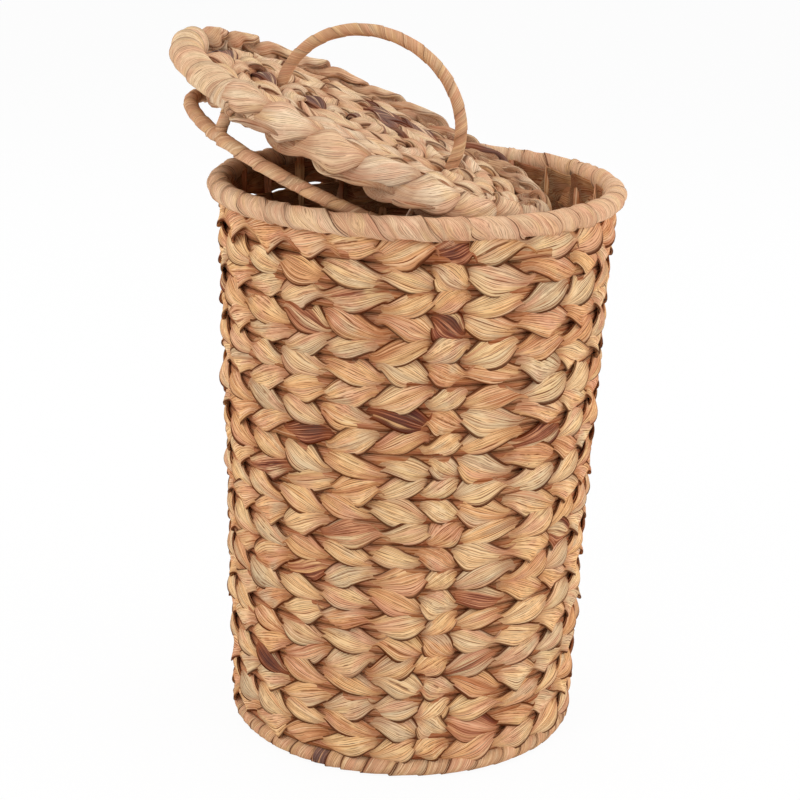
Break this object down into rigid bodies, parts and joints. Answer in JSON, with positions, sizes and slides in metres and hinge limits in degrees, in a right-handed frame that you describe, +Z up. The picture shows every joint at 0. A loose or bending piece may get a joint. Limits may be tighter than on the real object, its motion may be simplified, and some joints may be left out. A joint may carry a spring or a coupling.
{
  "type": "lidded woven waste basket",
  "caption": "Tall round waste basket twined from flattened plant stalks over a wire frame, with wrapped rim and foot and a loose woven lid with an arched handle.",
  "frame": {"origin": "on the basket's axis, on the surface that it stands on", "axes": "+Z up along the basket's axis; +X points down the slope that the lid lies on, with the lid's raised end over -X"},
  "size_m": [0.2745, 0.25, 0.4334],
  "materials": {
    "wall_strand": "dry flattened stalk, matt to satin, with fine lengthwise fibres",
    "base_strand": "dry flattened stalk, matt",
    "lid_strand": "dry flattened stalk, matt to satin, with fine lengthwise fibres",
    "wrapping_strip": "thin strip wound tight, satin",
    "cane_hoop": "plain round cane",
    "frame_wire": "brown coated steel wire, satin"
  },
  "bodies": {
    "basket": {"rim_hoop": "cane_hoop", "rim_wrap": "wrapping_strip", "foot_hoop": "cane_hoop", "foot_wrap": "wrapping_strip", "stake_frame": "frame_wire", "base_spokes": "frame_wire", "base_centre": "base_strand", "base_course_1": "base_strand", "base_course_2": "base_strand", "base_course_3": "base_strand", "base_course_4": "base_strand", "base_course_5": "base_strand", "wall_course_01": "wall_strand", "wall_course_02": "wall_strand", "wall_course_03": "wall_strand", "wall_course_04": "wall_strand", "wall_course_05": "wall_strand", "wall_course_06": "wall_strand", "wall_course_07": "wall_strand", "wall_course_08": "wall_strand", "wall_course_09": "wall_strand", "wall_course_10": "wall_strand", "wall_course_11": "wall_strand", "wall_course_12": "wall_strand", "wall_course_13": "wall_strand", "wall_course_14": "wall_strand", "wall_course_15": "wall_strand", "wall_course_16": "wall_strand", "wall_course_17": "wall_strand", "wall_course_18": "wall_strand", "wall_course_19": "wall_strand", "wall_course_20": "wall_strand", "wall_course_21": "wall_strand", "wall_course_22": "wall_strand", "wall_course_23": "wall_strand"},
    "lid": {"lid_border": "lid_strand", "lid_frame": "frame_wire", "lid_centre": "lid_strand", "lid_course_1": "lid_strand", "lid_course_2": "lid_strand", "lid_course_3": "lid_strand", "lid_course_4": "lid_strand", "lid_course_5": "lid_strand", "lid_course_6": "lid_strand", "drop_hoop": "frame_wire", "drop_wrap": "wrapping_strip", "drop_strut_1": "frame_wire", "drop_strut_2": "frame_wire", "drop_strut_3": "frame_wire", "drop_strut_4": "frame_wire", "drop_strut_5": "frame_wire", "handle_wire": "frame_wire", "handle_wrap": "wrapping_strip"}
  },
  "joints": [
    {"name": "lid_lift", "type": "slide", "parent": "basket", "child": "lid", "axis": [0, 0, 1], "range_m": [0, 0.15]}
  ]
}
